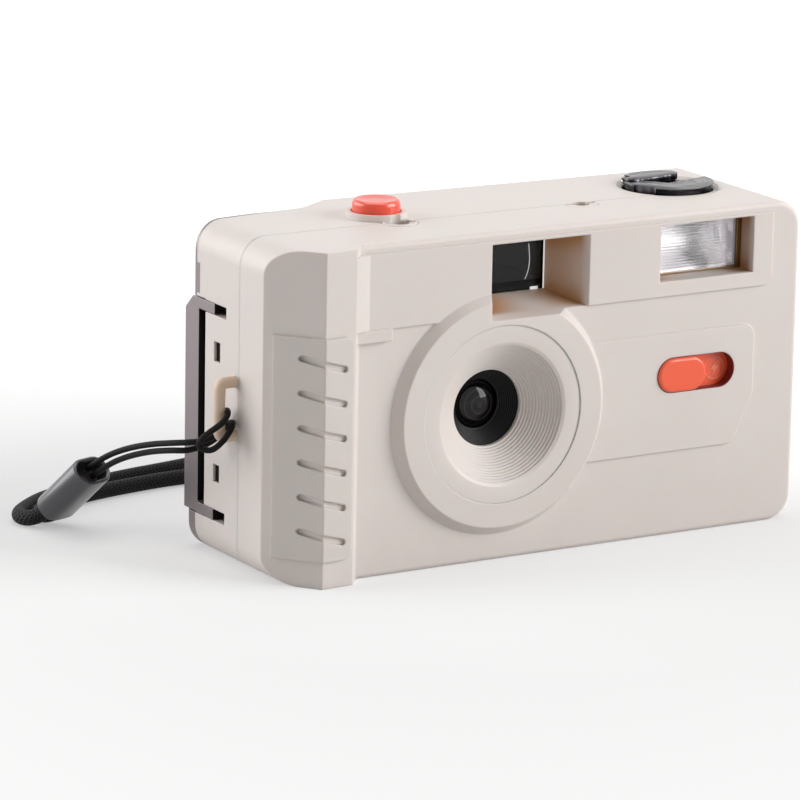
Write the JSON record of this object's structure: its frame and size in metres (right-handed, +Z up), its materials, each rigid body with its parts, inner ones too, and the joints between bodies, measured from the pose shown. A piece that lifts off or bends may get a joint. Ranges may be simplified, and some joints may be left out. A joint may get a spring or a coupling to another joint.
{
  "type": "film camera",
  "caption": "Compact reusable film camera with a stepped fixed lens, flash, sliding switch, thumb wheel, rewind crank, hinged rear film door and wrist strap.",
  "frame": {"origin": "middle of the base, on the plane that the camera stands on", "axes": "+X along the body towards the flash end, +Y from the lens to the film door, +Z up"},
  "size_m": [0.1371, 0.0983, 0.0664],
  "materials": {
    "beige_plastic": "satin warm beige",
    "dark_plastic": "satin dark grey",
    "black_plastic": "matt black",
    "orange_plastic": "glossy orange",
    "gunmetal": "metallic dark grey",
    "steel": "plain steel",
    "lens_glass": "coated lens",
    "clear_plastic": "clear plastic",
    "reflector": "bright sheet",
    "circuit": "green board",
    "capacitor_sleeve": "shrunk sleeve",
    "foam": "black foam",
    "black_cord": "black braid",
    "strap_clip": "dark grey moulding"
  },
  "bodies": {
    "camera": {"front_cover": "beige_plastic", "grip_pad": "beige_plastic", "mid_body": "beige_plastic", "rear_frame": "dark_plastic", "strap_lug": "beige_plastic", "chassis": "black_plastic", "lens_bezel": "beige_plastic", "lens_barrel": "black_plastic", "front_lens": "lens_glass", "rear_lens": "lens_glass", "shutter_plate": "steel", "viewfinder_window": "clear_plastic", "viewfinder_tunnel": "black_plastic", "eyepiece": "clear_plastic", "flash_lens": "clear_plastic", "flash_reflector": "reflector", "flash_tube": "clear_plastic", "circuit_board": "circuit", "capacitor": "capacitor_sleeve", "battery_holder": "black_plastic", "battery_contact": "steel", "battery_cover_pin": "steel", "case_screws": "steel", "light_seal": "foam", "door_hinge_pins": "steel", "button_spring": "steel", "strap_string": "black_cord", "strap_sleeve": "strap_clip", "strap_cord": "black_cord"},
    "door": {"film_door": "dark_plastic", "pressure_plate": "black_plastic", "pressure_spring": "steel"},
    "latch": {"door_latch": "dark_plastic"},
    "button": {"shutter_button": "orange_plastic"},
    "blade": {"shutter_blade": "steel"},
    "switch": {"flash_switch": "orange_plastic"},
    "rewind": {"rewind_knob": "gunmetal", "rewind_shaft": "black_plastic", "crank_pin": "steel"},
    "crank": {"rewind_crank": "gunmetal"},
    "advance": {"advance_wheel": "dark_plastic", "takeup_spool": "black_plastic"},
    "drive": {"sprocket": "black_plastic"},
    "release": {"rewind_release": "black_plastic"},
    "battery_door": {"battery_cover": "black_plastic", "battery_spring": "steel"}
  },
  "joints": [
    {"name": "film_door_hinge", "type": "hinge", "parent": "camera", "child": "door", "pos_m": [-0.0537, 0.008, 0.0282], "axis": [0, 0, 1], "range_deg": [0, 90]},
    {"name": "latch_slide", "type": "slide", "parent": "camera", "child": "latch", "axis": [0, 0, 1], "range_m": [0, 0.003]},
    {"name": "button_press", "type": "slide", "parent": "camera", "child": "button", "axis": [0, 0, -1], "range_m": [0, 0.0015], "stiffness_N_per_m": 400, "springref_m": -0.0006, "deforming": ["button_spring"]},
    {"name": "blade_swing", "type": "hinge", "parent": "camera", "child": "blade", "pos_m": [-0.0178, -0.0059, 0.026], "axis": [0, 1, 0], "range_deg": [0, 38]},
    {"name": "switch_slide", "type": "slide", "parent": "camera", "child": "switch", "axis": [1, 0, 0], "range_m": [0, 0.0064]},
    {"name": "rewind_turn", "type": "hinge", "parent": "camera", "child": "rewind", "pos_m": [0.0409, 0.004, 0.062], "axis": [0, 0, 1], "continuous": true},
    {"name": "crank_fold", "type": "hinge", "parent": "rewind", "child": "crank", "pos_m": [0.0344, 0.0077, 0.06335], "axis": [0, -1, 0], "range_deg": [0, 115]},
    {"name": "wheel_turn", "type": "hinge", "parent": "camera", "child": "advance", "pos_m": [-0.0424, 0.0044, 0.0526], "axis": [0, 0, 1], "continuous": true},
    {"name": "sprocket_turn", "type": "hinge", "parent": "camera", "child": "drive", "pos_m": [0.0165, 0.005, 0.0285], "axis": [0, 0, 1], "continuous": true},
    {"name": "release_press", "type": "slide", "parent": "camera", "child": "release", "axis": [0, 0, 1], "range_m": [0, 0.0012], "stiffness_N_per_m": 100, "springref_m": -0.0006},
    {"name": "battery_cover_hinge", "type": "hinge", "parent": "camera", "child": "battery_door", "pos_m": [-0.03865, -0.01175, 0.0013], "axis": [0, -1, 0], "range_deg": [0, 88]}
  ],
  "couplings": [
    {"joint": "blade_swing", "follows": "button_press", "rad_per_m": 442},
    {"joint": "sprocket_turn", "follows": "wheel_turn", "ratio": 0.8333}
  ]
}
